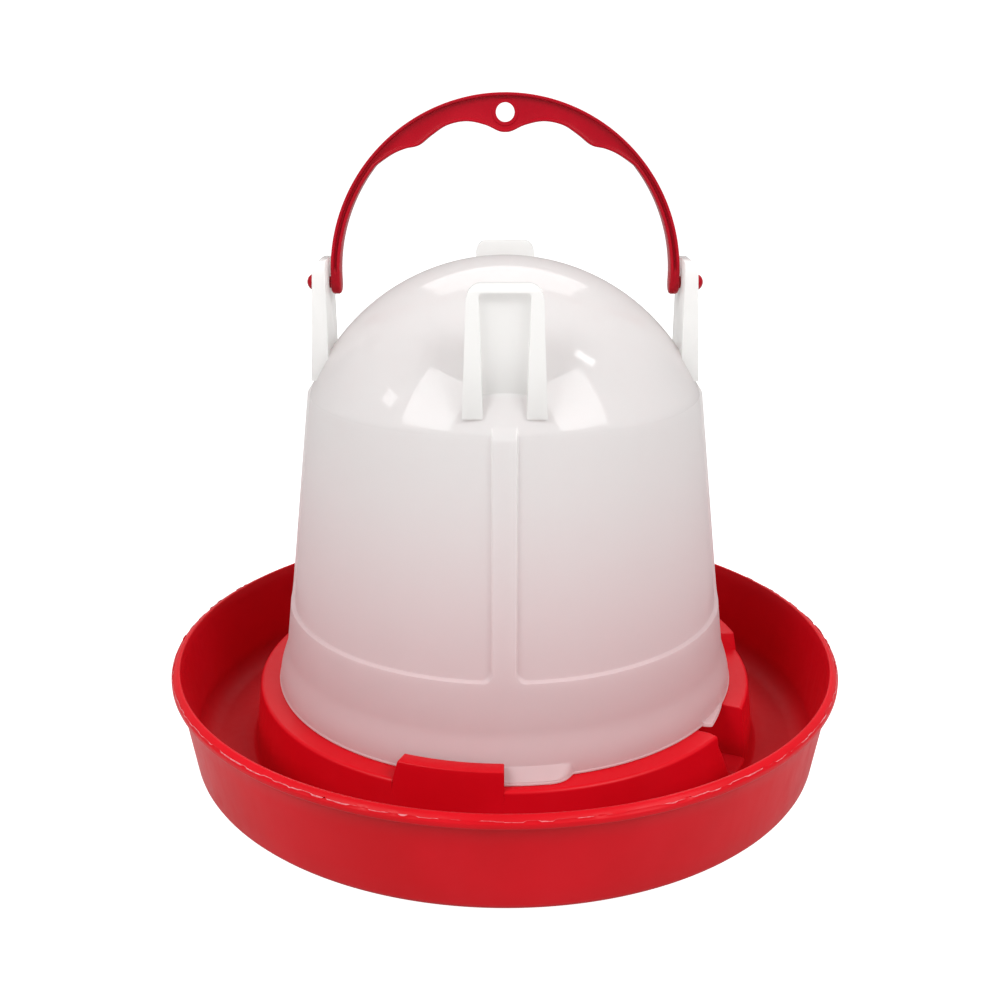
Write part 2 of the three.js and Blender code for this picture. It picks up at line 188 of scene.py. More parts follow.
class Skin:
    """A mesh of welded points: a point that is given twice is kept once."""

    def __init__(self):
        self.points = []
        self.index = {}
        self.faces = []

    def point(self, p):
        key = tuple(round(c, 3) for c in p)
        if key not in self.index:
            self.index[key] = len(self.points)
            self.points.append(p)
        return self.index[key]

    def face(self, corners):
        ring = []
        for p in corners:
            i = self.point(p)
            if i not in ring:
                ring.append(i)
        if len(ring) > 2:
            self.faces.append(ring)

    def grid(self, lines, closed=False):
        """Quads between neighbouring lines of points, all with the same count."""
        pairs = list(zip(lines, lines[1:]))
        if closed:
            pairs.append((lines[-1], lines[0]))
        for a, b in pairs:
            for i in range(len(a) - 1):
                self.face((a[i], b[i], b[i + 1], a[i + 1]))

    def cap(self, a, b):
        """Closes each stretch where two lines in one plane part from each other."""
        differ = [math.dist(p, q) > 0.002 for p, q in zip(a, b)]
        i = 0
        while i < len(a):
            if not differ[i]:
                i += 1
                continue
            last = i
            while last + 1 < len(a) and differ[last + 1]:
                last += 1
            self.face(a[i - 1:last + 2] + b[i:last + 1][::-1])
            i = last + 1

    def build(self, name, sharp=50):
        mesh = bpy.data.meshes.new(name)
        mesh.from_pydata([[c * MM for c in p] for p in self.points], [], self.faces)
        return finished(mesh, name, sharp)


def finished(mesh, name, sharp):
    """Makes the object, with its faces turned outwards and its sharp edges marked."""
    bm = bmesh.new()
    bm.from_mesh(mesh)
    bmesh.ops.dissolve_degenerate(bm, dist=1e-6, edges=bm.edges)
    bmesh.ops.recalc_face_normals(bm, faces=bm.faces)
    bm.to_mesh(mesh)
    bm.free()
    mesh.shade_smooth()
    mesh.set_sharp_from_angle(angle=math.radians(sharp))
    piece = bpy.data.objects.new(name, mesh)
    bpy.context.scene.collection.objects.link(piece)
    return piece


def applied(piece):
    """The piece with its modifiers applied."""
    bpy.context.view_layer.update()
    seen = piece.evaluated_get(bpy.context.evaluated_depsgraph_get())
    mesh = bpy.data.meshes.new_from_object(seen)
    piece.modifiers.clear()
    piece.data = mesh
    mesh.shade_smooth()
    mesh.set_sharp_from_angle(angle=math.radians(40))
    return piece


def combined(piece, tool, operation):
    """Joins the tool to the piece, or cuts it away, and removes the tool."""
    modifier = piece.modifiers.new("boolean", "BOOLEAN")
    modifier.operation = operation
    modifier.solver = "EXACT"
    modifier.object = tool
    applied(piece)
    bpy.data.objects.remove(tool)
    return piece


def bevelled(piece, width, segments):
    modifier = piece.modifiers.new("bevel", "BEVEL")
    modifier.width = width * MM
    modifier.segments = segments
    modifier.limit_method = "ANGLE"
    modifier.angle_limit = math.radians(40)
    return applied(piece)


def turned_about(name, outline, axis, place, segments=48):
    """A solid turned round an axis through a place, from points of radius and distance along the axis."""
    skin = Skin()
    lines = []
    for i in range(segments):
        a = 2 * math.pi * i / segments
        line = []
        for radius, along in outline:
            p = [0, 0, 0]
            p[axis] = along
            p[(axis + 1) % 3] = radius * math.cos(a)
            p[(axis + 2) % 3] = radius * math.sin(a)
            line.append(tuple(p[k] + place[k] for k in range(3)))
        lines.append(line)
    skin.grid(lines, closed=True)
    for end in (0, -1):
        if outline[end][0] > 0:
            skin.face([line[end] for line in lines])
    return skin.build(name)


# ---------- tray ----------

def ledge_wall(z):
    return LEDGE_OUTER_TOP + (LEDGE_OUTER_FOOT - LEDGE_OUTER_TOP) * (LEDGE_TOP - z) / LEDGE_TOP


def ledge_inside(z):
    return LEDGE_INNER_FOOT + (LEDGE_INNER_TOP - LEDGE_INNER_FOOT) * z / LEDGE_TOP


def wall_outside(z):
    return WALL_RADIUS - WALL_DRAFT * (RIM_FOOT - z)


def wall_inside(z):
    return wall_outside(z) - WALL


def outlet_slope(z):
    """Distance of the gap's near end from its far end, at a height."""
    part = (max(z, OUTLET_SILL) - OUTLET_SILL) / (LEDGE_TOP - OUTLET_SILL)
    return mix(OUTLET_SILL_WIDTH, OUTLET_TOP_WIDTH, part)


def corner_inset(depth):
    """How far a rounded upright corner lies behind the wall, that far along from its end."""
    if depth >= OUTLET_CORNER:
        return 0
    rest = OUTLET_CORNER - max(depth, 0)
    return OUTLET_CORNER - math.sqrt(OUTLET_CORNER ** 2 - rest ** 2)


def centre_rows():
    """The floor inside the ledge, from the axis to the foot of the ledge's inner wall."""
    flat = [(r, FLOOR) for r in (0, 12, 30, 50, 70, 88)]
    return flat + [(94.4, FLOOR), (95.4, FLOOR + 0.25), (96.1, FLOOR + 0.9)]


def ledge_rows(height, along=None):
    """The plain ledge, cut off at a height. Near the gap, along is the distance from its far end."""
    rows = []
    for part in (0.1, 0.4, 0.7):
        z = mix(FLOOR + 0.9, height - 1, part)
        rows.append((ledge_inside(z), z))
    edge = ledge_inside(height - 1)
    rows += arc(edge + 1, height - 1, 1, 180, 90, 3)

    def inset(z):
        if along is None or z < OUTLET_SILL:
            return 0
        return corner_inset(along - outlet_slope(z))

    outer = ledge_wall(height) - inset(height)
    flat_end = outer - LEDGE_EDGE
    for r in (LEDGE_FLAT, 106, HOOK_INNER, 110, 112, HOOK_POCKET):
        part = (r - LEDGE_FLAT) / (LEDGE_OUTER_TOP - LEDGE_EDGE - LEDGE_FLAT)
        rows.append((mix(LEDGE_FLAT, flat_end, part), height))
    shift = ledge_wall(height - LEDGE_EDGE) - inset(height - LEDGE_EDGE) - LEDGE_EDGE
    for i, (r, z) in enumerate(arc(0, height - LEDGE_EDGE, LEDGE_EDGE, 90, 0, 10)):
        rows.append((r + mix(flat_end, shift, i / 10), z))
    foot = min(OUTLET_SILL, height - LEDGE_EDGE)
    for part in (0.12, 0.3, 0.5, 0.75, 0.99):
        z = mix(height - LEDGE_EDGE, foot, part)
        rows.append((ledge_wall(z) - inset(z), z))
    low = foot - 0.2
    rows += [(ledge_wall(low), low), (ledge_wall(FLOOR + 2), FLOOR + 2)]
    return rows


def hook_rows(is_open, shrink):
    """The ledge with a hook on it. The last rows are the plain ledge's own."""
    rows = ledge_rows(LEDGE_TOP)
    inner_wall, inner_edge, flat_top = 3, 4, 3
    first = inner_wall + inner_edge + flat_top
    inner = HOOK_INNER + shrink
    top = HOOK_TOP - shrink
    if is_open:
        under = HOOK_UNDER + shrink
        pocket = HOOK_POCKET + shrink
        hook = [(pocket, LEDGE_TOP), (pocket, under), (inner, under)]
    else:
        hook = [(inner, LEDGE_TOP + 1), (inner, LEDGE_TOP + 3), (inner, HOOK_UNDER + shrink)]
    hook += arc(inner + HOOK_EDGE, top - HOOK_EDGE, HOOK_EDGE, 180, 90, 3)
    outer = ledge_wall(top) - shrink
    hook += arc(outer - HOOK_EDGE, top - HOOK_EDGE, HOOK_EDGE, 90, 0, 3)
    for z in (38, 35.5, 33.4):
        hook.append((ledge_wall(z) - shrink, z))
    rows[first:first + len(hook)] = hook
    return rows


def trough_rows(flash_in, flash_up):
    """The trough floor, the wall's inside, the rim with its sliver of flash, and the wall's outside."""
    slope = math.degrees(math.atan(WALL_DRAFT))
    lean = math.cos(math.radians(slope))
    inner_centre = wall_inside(FLOOR + TROUGH_RADIUS) - TROUGH_RADIUS / lean
    outer_centre = wall_outside(CORNER_RADIUS) - CORNER_RADIUS / lean
    rows = [(120.7, FLOOR + 1), (121.1, FLOOR + 0.35), (122, FLOOR), (127, FLOOR), (132, FLOOR)]
    rows += arc(inner_centre, FLOOR + TROUGH_RADIUS, TROUGH_RADIUS, -90, -slope, 9)
    rows += [(wall_inside(z), z) for z in (20, 30, 40, TRAY_HEIGHT - 0.5)]
    crest = wall_inside(TRAY_HEIGHT)
    rows += [(crest + 0.15, TRAY_HEIGHT - 0.12), (crest + 0.5, TRAY_HEIGHT)]
    rows += [(crest + 1.2, TRAY_HEIGHT - 0.16), (crest + 2.2, TRAY_HEIGHT - 0.72)]
    ridge = TRAY_RADIUS - FLASH_EDGE - flash_in
    ridge_top = TRAY_HEIGHT - FLASH_DROP + flash_up
    rows += [(ridge, TRAY_HEIGHT - 1.75 + 0.9 * flash_in), (ridge + 0.04, ridge_top)]
    rows += [(ridge + 0.14, ridge_top), (ridge + 0.2, TRAY_HEIGHT - 1.85 + 0.5 * flash_in)]
    rows += [(TRAY_RADIUS - 0.12, TRAY_HEIGHT - 2.2), (TRAY_RADIUS, TRAY_HEIGHT - 2.5)]
    rows += [(TRAY_RADIUS, RIM_FOOT + 0.5), (TRAY_RADIUS - 0.15, RIM_FOOT + 0.12)]
    rows.append((TRAY_RADIUS - 0.5, RIM_FOOT))
    rows += [(WALL_RADIUS + 0.7, RIM_FOOT), (WALL_RADIUS + 0.2, RIM_FOOT - 0.2)]
    rows += [(wall_outside(z), z) for z in (RIM_FOOT - 0.8, 32, 22, 12)]
    rows += arc(outer_centre, CORNER_RADIUS, CORNER_RADIUS, -slope, -90, 6)
    return rows + [(140, 0), (128, 0)]


def under_rows(hollow):
    """The underside: a flat foot, the hollow of the ledge and the centre with its moulding gate."""
    outer = ledge_wall(0) - LEDGE_SHEET
    inner = ledge_inside(0) + LEDGE_SHEET
    rows = [(outer + 0.4, 0), (outer, 0.4)]
    rows += [(ledge_wall(hollow * part) - LEDGE_SHEET, hollow * part) for part in (0.3, 0.6)]
    rows += arc(ledge_wall(hollow) - LEDGE_SHEET - 1, hollow - 1, 1, 0, 90, 3)
    rows += arc(ledge_inside(hollow) + LEDGE_SHEET + 1, hollow - 1, 1, 90, 180, 3)
    rows += [(ledge_inside(hollow * part) + LEDGE_SHEET, hollow * part) for part in (0.6, 0.3)]
    rows += [(inner, 0.4), (inner - 0.4, 0), (80, 0), (40, 0)]
    rows += [(GATE_RADIUS, 0), (GATE_RADIUS - 1, GATE_DEPTH)]
    return rows + [(GATE_STUB, GATE_DEPTH), (GATE_STUB - 1, 0.2), (0, 0.2)]


def outlet_brink():
    """Distance from the far end and height of points down the gap's near end, edges rounded."""
    run = OUTLET_TOP_WIDTH - OUTLET_SILL_WIDTH
    fall = math.atan2(LEDGE_TOP - OUTLET_SILL, run)
    brink_middle = OUTLET_TOP_WIDTH + OUTLET_BRINK * math.tan(fall / 2)
    foot_middle = OUTLET_SILL_WIDTH - OUTLET_FOOT * math.tan(fall / 2)

    def on_brink(a):
        return (brink_middle - OUTLET_BRINK * math.sin(a), LEDGE_TOP - OUTLET_BRINK * (1 - math.cos(a)))

    def on_foot(a):
        return (foot_middle + OUTLET_FOOT * math.sin(a), OUTLET_SILL + OUTLET_FOOT * (1 - math.cos(a)))

    points = [on_brink(fall * i / 6) for i in range(7)]
    start, end = points[-1], on_foot(fall)
    points += [(mix(start[0], end[0], i / 10), mix(start[1], end[1], i / 10)) for i in range(1, 10)]
    return points + [on_foot(fall * i / 4) for i in range(4, -1, -1)]


def past_hook_start(angle):
    """Degrees from the start of the last hook before an angle."""
    return min((angle + HOOK_SPAN - stop) % 360 for stop in HOOK_STOPS)


def off_far_end(along, radius):
    """Angle of a point at a distance along from the gap's far end, at a radius."""
    return OUTLET_FAR - math.degrees(math.asin(along / radius))


class Flash:
    """The ragged sliver of plastic where the mould halves met, along the rim's outer edge."""

    def __init__(self):
        dice = random.Random(4)
        self.steps = []
        angle = 0.0
        while angle < 360:
            self.steps.append((angle, dice.uniform(-0.1, 0.6), dice.uniform(0.0, 0.5)))
            angle += dice.uniform(0.6, 2.4)

    def at(self, angle):
        """How far the flash is set in and how high it stands at an angle."""
        angle %= 360
        found = [s for s in self.steps if s[0] <= angle][-1]
        return found[1], found[2]


def tray_columns():
    """The tray's sections round the axis: angle, how the hooks and gap stand there, and the hollow."""
    columns = []
    low = OUTLET_SILL - LEDGE_SHEET
    high = LEDGE_TOP - LEDGE_SHEET

    def add(angle, kind="plain", shrink=0.0, along=None, height=LEDGE_TOP, deep=None, order=0):
        hollow = low if LOW_FROM < angle < LOW_TO else high
        columns.append({
            "angle": angle, "order": order, "kind": kind, "shrink": shrink, "along": along,
            "height": height, "hollow": hollow if deep is None else deep,
        })

    rounding = [(HOOK_EDGE * (1 - math.cos(a)), HOOK_EDGE * (1 - math.sin(a)))
                for a in (0, math.pi / 6, math.pi / 3, math.pi / 2)]
    per_mm = math.degrees(1 / HOOK_MIDDLE)
    busy = []                   # stretches that have columns of their own
    for stop in HOOK_STOPS:
        start = (stop - HOOK_SPAN) % 360
        inner_end = start + HOOK_CLOSED
        end = start + HOOK_SPAN
        add(start, order=0)
        for i, (offset, shrink) in enumerate(rounding):
            add(start + offset * per_mm, "closed", shrink, order=1 + i)
        add(inner_end, "closed", order=0)
        add(inner_end, "open", order=1)
        for i, (offset, shrink) in enumerate(rounding[::-1]):
            add(end - offset * per_mm, "open", shrink, order=i)
        add(end, order=9)
        busy += [(start, start + 0.3), (inner_end, inner_end), (end - 0.3, end)]
    near_end = [(off_far_end(along, OUTLET_MIDDLE), along, z) for along, z in outlet_brink()]
    for angle, along, z in near_end:
        add(angle, along=along, height=z, deep=low)
    add(OUTLET_FAR, height=OUTLET_SILL, order=0)
    for i, (offset, shrink) in enumerate(rounding):
        add(OUTLET_FAR + offset * per_mm, height=LEDGE_TOP - shrink, order=1 + i)
    add(LOW_FROM, deep=high, order=0)
    add(LOW_FROM, deep=low, order=1)
    add(LOW_TO, deep=low, order=0)
    add(LOW_TO, deep=high, order=1)
    busy += [(near_end[0][0], near_end[-1][0]), (OUTLET_FAR, OUTLET_FAR + 0.3)]
    busy += [(LOW_FROM, LOW_FROM), (LOW_TO, LOW_TO)]
    step = 0.5
    clear = 0.12
    for i in range(int(360 / step)):
        angle = i * step
        if any(a - clear < other < b + clear for a, b in busy for other in (angle, angle + 360)):
            continue
        after = past_hook_start(angle)
        if after < HOOK_CLOSED:
            kind = "closed"
        elif after < HOOK_SPAN:
            kind = "open"
        else:
            kind = "plain"
        inside_gap = near_end[-1][0] < angle < OUTLET_FAR
        add(angle, kind, height=OUTLET_SILL if inside_gap else LEDGE_TOP)
    for column in columns:
        column["angle"] %= 360
    # at one angle the order tells which column comes first, so each step is closed by a flat face
    columns.sort(key=lambda c: (round(c["angle"], 4), c["order"]))
    return columns, near_end


def tray_line(column, near_end, flash):
    """One section of the tray as points in space."""
    angle = column["angle"]
    if column["kind"] == "plain":
        ledge = ledge_rows(column["height"], column["along"])
    else:
        ledge = hook_rows(column["kind"] == "open", column["shrink"])
    flash_in, flash_up = flash.at(angle)
    first_angle, first_along, _ = near_end[0]
    last_angle, last_along, _ = near_end[-1]

    def turn(r, z):
        """Turns a point about the axis: the hook's leaning end, and the gap's parallel sides."""
        if column["kind"] == "closed":
            up = max(0, z - LEDGE_TOP) / (HOOK_TOP - LEDGE_TOP)
            return HOOK_LEAN * up * max(0, 1 - past_hook_start(angle) / HOOK_CLOSED)
        if not LEDGE_INNER_FOOT - 1 < r < LEDGE_OUTER_FOOT + 0.4:
            return 0
        radius = max(r, LEDGE_INNER_FOOT)
        if column["along"] is not None:
            return off_far_end(column["along"], radius) - angle
        if LEAN_FROM < angle < first_angle:
            part = (angle - LEAN_FROM) / (first_angle - LEAN_FROM)
            return part * (off_far_end(first_along, radius) - first_angle)
        if last_angle < angle < OUTLET_FAR:
            along = last_along * (OUTLET_FAR - angle) / (OUTLET_FAR - last_angle)
            return off_far_end(along, radius) - angle
        return 0

    line = [polar(r, z, angle) for r, z in centre_rows()]
    line += [polar(r, z, angle + turn(r, z)) for r, z in ledge]
    line += [polar(r, z, angle) for r, z in trough_rows(flash_in, flash_up)]
    line += [polar(r, z, angle) for r, z in under_rows(column["hollow"])]
    return line


def tray_moulding():
    columns, near_end = tray_columns()
    flash = Flash()
    lines = [tray_line(c, near_end, flash) for c in columns]
    skin = Skin()
    count = len(columns)
    for i in range(count):
        a, b = columns[i], columns[(i + 1) % count]
        same_place = abs(a["angle"] - b["angle"]) < 0.001
        changes = a["kind"] != b["kind"] or a["hollow"] != b["hollow"] or a["height"] != b["height"]
        if same_place and changes:
            skin.cap(lines[i], lines[(i + 1) % count])
        else:
            skin.grid([lines[i], lines[(i + 1) % count]])
    return skin.build("tray_moulding")


# ---------- fount ----------

def cone(z):
    return CONE_RADIUS - CONE_DRAFT * (z - LEDGE_TOP)


def panel(z):
    return cone(z) - PANEL_DEPTH


def dome_sphere():
    rise = APEX - SHOULDER
    radius = (panel(SHOULDER) ** 2 + rise ** 2) / (2 * rise)
    return radius, APEX - radius


DOME_RADIUS, DOME_CENTRE = dome_sphere()


def dome(z):
    return math.sqrt(max(0, DOME_RADIUS ** 2 - (z - DOME_CENTRE) ** 2))


def soft_least(a, b, softness):
    """The lesser of two numbers, with the change between them rounded off."""
    h = min(1, max(0, 0.5 + 0.5 * (b - a) / softness))
    return mix(b, a, h) - softness * h * (1 - h)


def foot_band(z):
    """The thicker band round the foot, which leans over on to the cone."""
    upright = FOOT_RADIUS - FOOT_DRAFT * (z - FOUNT_FOOT)
    part = min(1, max(0, (z - FOOT_BAND) / (FOOT_FLARE - FOOT_BAND)))
    return mix(upright, cone(z), smooth(0, 1, part))


def lug_reach(angle):
    """How far a lug stands out of the foot at an angle."""
    for stop in HOOK_STOPS:
        after = (angle - stop + 180) % 360 - 180
        if LUG_FROM <= after <= LUG_FULL:
            return LUG_REACH * smooth(LUG_FROM, LUG_FULL, after)
        if LUG_FULL < after <= LUG_FADE:
            return LUG_REACH
        if LUG_FADE < after < LUG_TO:
            return LUG_REACH * (1 - ((after - LUG_FADE) / (LUG_TO - LUG_FADE)) ** 2.6)
    return 0


def tab_reach(angle):
    """How far the wedge shaped tab stands out of the foot at an angle."""
    if TAB_FROM < angle <= TAB_PEAK:
        return TAB_REACH * smooth(TAB_FROM - 0.4, TAB_PEAK, angle)
    if TAB_PEAK < angle < TAB_TO:
        return TAB_REACH * (TAB_TO - angle) / (TAB_TO - TAB_PEAK)
    return 0


def fount_heights():
    """Heights of the rows up the outside, closer together where the shape changes."""
    rows = [LUG_TOP + 0.6 + 1.2 * i for i in range(12)]
    rows += [56, 60, 65, 69]
    rows += [70.4, 70.8] + [71.1 + 0.2 * i for i in range(6)] + [72.5 + 0.45 * i for i in range(11)]
    rows += [80 + 4 * i for i in range(22)]
    return rows + [165.5, 166.6, 167.3, 167.8, 168.2, 168.6, 168.9, 169.2]


def fount_outside(across, z):
    """Radius of the outside above the foot. Across is the distance from the middle of the nearest rib."""
    if z > RIB_END:
        return dome(z)
    rib_slope = mix(cone(RIB_TOP), dome(RIB_END), (z - RIB_TOP) / (RIB_END - RIB_TOP))
    rib = soft_least(cone(z), rib_slope, 0.5)
    if z < SHOULDER + 3:
        low = soft_least(panel(z), dome(z) if z > DOME_CENTRE else panel(z), 0.35)
    else:
        low = dome(z)
    if z > SHOULDER - 2:
        rib = max(rib, low)
    dx = across - RIB_HALF
    dz = z - PANEL_FOOT
    if dx < PANEL_CORNER and dz < PANEL_CORNER:
        inside = PANEL_CORNER - math.hypot(PANEL_CORNER - dx, PANEL_CORNER - dz)
    else:
        inside = min(dx, dz)
    return mix(rib, low, smooth(-0.4, 0.4, inside))


def fount_columns():
    """Each column is an angle plus a distance from a rib's middle, so that the ribs keep their width."""
    offsets = [0, 1.8, 3.2, 3.9, 4.3, 4.6, 4.9, 5.2, 5.6, 6.1, 6.7, 7.4, 8.2, 9.1, 10.2, 11.4, 12.6]
    side = 9                    # angle of a rib's last column from its middle
    step = 0.8
    extra = [TAB_FROM + 0.25 * i for i in range(8)]
    for stop in HOOK_STOPS:
        extra += [stop + LUG_FADE + 0.5 * i for i in range(13)]
    columns = []
    for quarter in range(4):
        rib = 90 * quarter
        first, last = rib + side, rib + 90 - side
        columns += [(rib, x) for x in offsets]
        between = [first + step * i for i in range(91) if first + step * i <= last]
        wanted = [a for a in extra if first < a < last]
        between = [a for a in between if all(abs(a - w) > 0.2 for w in wanted)]
        columns += [(a, 0) for a in sorted(between + wanted)]
        columns += [(rib + 90, -x) for x in offsets[:0:-1]]
    return columns


def fount_line(column):
    """One section of the fount: up the inside from the lower edge to the apex, and down the outside."""
    base, offset = column

    def angle(radius):
        return base + math.degrees(math.asin(offset / max(radius, RIB_MEET)))

    def across(radius):
        a = (angle(radius) + 45) % 90 - 45
        return abs(math.sin(math.radians(a))) * max(radius, RIB_MEET)

    tab = tab_reach(angle(FOOT_RADIUS))
    reach = max(lug_reach(angle(FOOT_RADIUS)), tab)
    rows = []
    heights = [FOUNT_FOOT + 1, 45, 60, PANEL_FOOT - 3, PANEL_FOOT - 1.5, PANEL_FOOT]
    for z in heights + [80, 110, 140, SHOULDER - 1]:
        sunk = smooth(PANEL_FOOT - 3.5, PANEL_FOOT - 1, z) * PANEL_DEPTH
        rows.append((cone(z) - sunk - FOUNT_WALL, z))
    start = math.degrees(math.asin((SHOULDER - DOME_CENTRE) / DOME_RADIUS))
    rows += arc(0, DOME_CENTRE, DOME_RADIUS - FOUNT_WALL, start + 2, 90, 26)
    rows[-1] = (0, rows[-1][1])
    turns = [start + t for t in (0, 0.4, 0.8, 1.2, 1.6, 2.0, 2.4, 2.9, 3.6, 4.6, 6)]
    turns += [mix(start + 6, 90, i / 34) for i in range(1, 35)]
    top = []
    for t in reversed(turns):
        z = DOME_CENTRE + DOME_RADIUS * math.sin(math.radians(t))
        plain = DOME_RADIUS * math.cos(math.radians(t))
        top.append((plain if z > RIB_END else fount_outside(across(plain), z), z))
    top[0] = (0, APEX)
    rows += top
    for z in reversed(fount_heights()):
        if z < PANEL_FOOT - 2:
            rows.append((foot_band(z), z))
        else:
            rows.append((fount_outside(across(panel(z)), z), z))
    lug_top = FOUNT_FOOT + TAB_HEIGHT if tab > 0 else LUG_TOP
    for part in (1, 0.8, 0.6, 0.4, 0.2, 0):
        z = mix(FOUNT_FOOT + 1.5, lug_top, part)
        rows.append((foot_band(z) + reach * (1 - part ** 1.15), z))
    rim = FOOT_RADIUS + reach
    rows += [(rim + 0.02, FOUNT_FOOT + 1.0), (rim + 0.3, FOUNT_FOOT + 0.85), (rim + 0.42, FOUNT_FOOT + 0.5)]
    rows += [(rim + 0.3, FOUNT_FOOT + 0.12), (rim, FOUNT_FOOT), (FOOT_RADIUS - 1, FOUNT_FOOT)]
    inner = cone(FOUNT_FOOT) - FOUNT_WALL
    rows += [(inner + 0.5, FOUNT_FOOT), (inner, FOUNT_FOOT + 0.5)]
    rows.append(rows[0])
    return [polar(r, z, angle(r)) for r, z in rows]


def fount_moulding():
    skin = Skin()
    skin.grid([fount_line(c) for c in fount_columns()], closed=True)
    return skin.build("fount_moulding", sharp=42)


# ---------- legs ----------

def leg_outer(z):
    return mix(LEG_OUTER_FOOT, LEG_OUTER_TOP, (z - LEG_FOOT) / (LEG_TOP - LEG_FOOT))


def leg_outline(half_foot, half_top, foot, top, corner):
    """Outline across and up, with rounded upper corners."""
    right = [(half_foot, foot), (mix(half_top, half_foot, corner / (top - foot)), top - corner)]
    right += [(half_top - corner + corner * math.cos(math.radians(a)),
               top - corner + corner * math.sin(math.radians(a))) for a in (18, 36, 54, 72, 90)]
    return right + [(-x, z) for x, z in reversed(right)]


def block(name, outline, near, far):
    """A shape drawn across and up, pushed back between two distances, which may depend on the height."""
    skin = Skin()
    front = [(x, -near(z), z) for x, z in outline]
    back = [(x, -far(z), z) for x, z in outline]
    skin.face(front)
    skin.face(back[::-1])
    skin.grid([front + front[:1], back + back[:1]])
    return skin.build(name)


def leg_crest():
    """What is cut off the leg to round the outer edge of its top."""
    crest_z = LEG_TOP - LEG_CREST
    crest_y = leg_outer(crest_z) - LEG_CREST
    beyond = 5
    section = arc(crest_y, crest_z, LEG_CREST, 0, 90, 10)
    section += [(crest_y, LEG_TOP + beyond), (LEG_OUTER_FOOT + beyond, LEG_TOP + beyond)]
    section.append((LEG_OUTER_FOOT + beyond, crest_z))
    sides = [[(x, -y, z) for y, z in section] for x in (-30, 30)]
    skin = Skin()
    skin.face(sides[0])
    skin.face(sides[1][::-1])
    skin.grid([side + side[:1] for side in sides])
    return skin.build("crest")


def dome_ball():
    """What is cut off the leg where it sinks into the dome's wall."""
    outline = arc(0, DOME_CENTRE, DOME_RADIUS - FOUNT_WALL * 0.4, -90, 90, 48)
    outline[0] = (0, outline[0][1])
    outline[-1] = (0, outline[-1][1])
    return turned_about("ball", outline, 2, (0, 0, 0), 160)


def add_bore(piece):
    """The boss inside a side leg's channel, with the bore for the handle's pin."""
    face = leg_outer(PIVOT) - 0.25
    outline = [(PIN_BOSS, -LEG_INNER - 1), (PIN_BOSS, 0.5 - face)]
    outline += [(PIN_BOSS - 0.15, 0.15 - face), (PIN_BOSS - 0.5, -face)]
    combined(piece, turned_about("boss", outline, 1, (0, 0, PIVOT)), "UNION")
    bore = turned_about("bore", [(PIN_BORE, -95), (PIN_BORE, -70)], 1, (0, 0, PIVOT))
    combined(piece, bore, "DIFFERENCE")


def leg(name, quarter):
    """One leg, made at the front and turned by quarters. The left and right ones have bores."""
    outline = leg_outline(LEG_HALF_FOOT, LEG_HALF_TOP, LEG_FOOT, LEG_TOP, LEG_CORNER)
    piece = block(name, outline, leg_outer, lambda z: LEG_INNER)
    channel = leg_outline(CHANNEL_HALF_FOOT, CHANNEL_HALF_TOP, LEG_FOOT - 4, LEG_TOP - LEG_END_WALL, 2)
    combined(piece, block("channel", channel, lambda z: 95, lambda z: LEG_INNER + LEG_WEB), "DIFFERENCE")
    combined(piece, leg_crest(), "DIFFERENCE")
    combined(piece, dome_ball(), "DIFFERENCE")
    bevelled(piece, LEG_EDGE, 3)
    if quarter % 2:
        add_bore(piece)
    turn = math.radians(90 * quarter)
    for v in piece.data.vertices:
        x, y, z = v.co
        v.co = (x * math.cos(turn) - y * math.sin(turn), x * math.sin(turn) + y * math.cos(turn), z)
    return piece


# ---------- handle ----------

def spline(points, steps):
    """A smooth curve through the points, by Catmull and Rom."""
    padded = [points[0]] + points + [points[-1]]
    curve = []
    for i in range(1, len(padded) - 2):
        p0, p1, p2, p3 = padded[i - 1:i + 3]
        for k in range(steps):
            t = k / steps
            curve.append(tuple(
                0.5 * (2 * b + (c - a) * t + (2 * a - 5 * b + 4 * c - d) * t * t
                       + (3 * b - a - 3 * c + d) * t ** 3)
                for a, b, c, d in zip(p0, p1, p2, p3)))
    return curve + [points[-1]]


def handle_inner_half():
    """The inner edge on the right: a plain arm, then a finger groove and half of the middle bump."""
    arm = arc(0, ARCH_CENTRE, ARCH_INNER, 0, 40, 28)
    steps = 7
    groove = [(48, 269.8), (42, 272.2), (36.5, 273.5), (31, 277.6), (24.5, 281.6), (16.3, 283.2)]
    groove.append((8.5, 281.8))
    bump = [(3, 279.4), (0, 278.9), (-3, 279.4)]
    grip = spline([arm[-3], arm[-1]] + groove + bump, steps)
    return [(ARCH_INNER, PIVOT + 0.3), (ARCH_INNER, PIVOT + 1.5)] + arm + grip[steps + 1:-steps]


def outer_partner(point):
    """The point of the outer edge across from a point of the inner edge."""
    x, z = point
    if z <= ARCH_CENTRE:
        return (math.copysign(ARCH_OUTER, x), z)
    a = math.atan2(z - ARCH_CENTRE, x)
    return (ARCH_OUTER * math.cos(a), ARCH_CENTRE + ARCH_OUTER * math.sin(a))


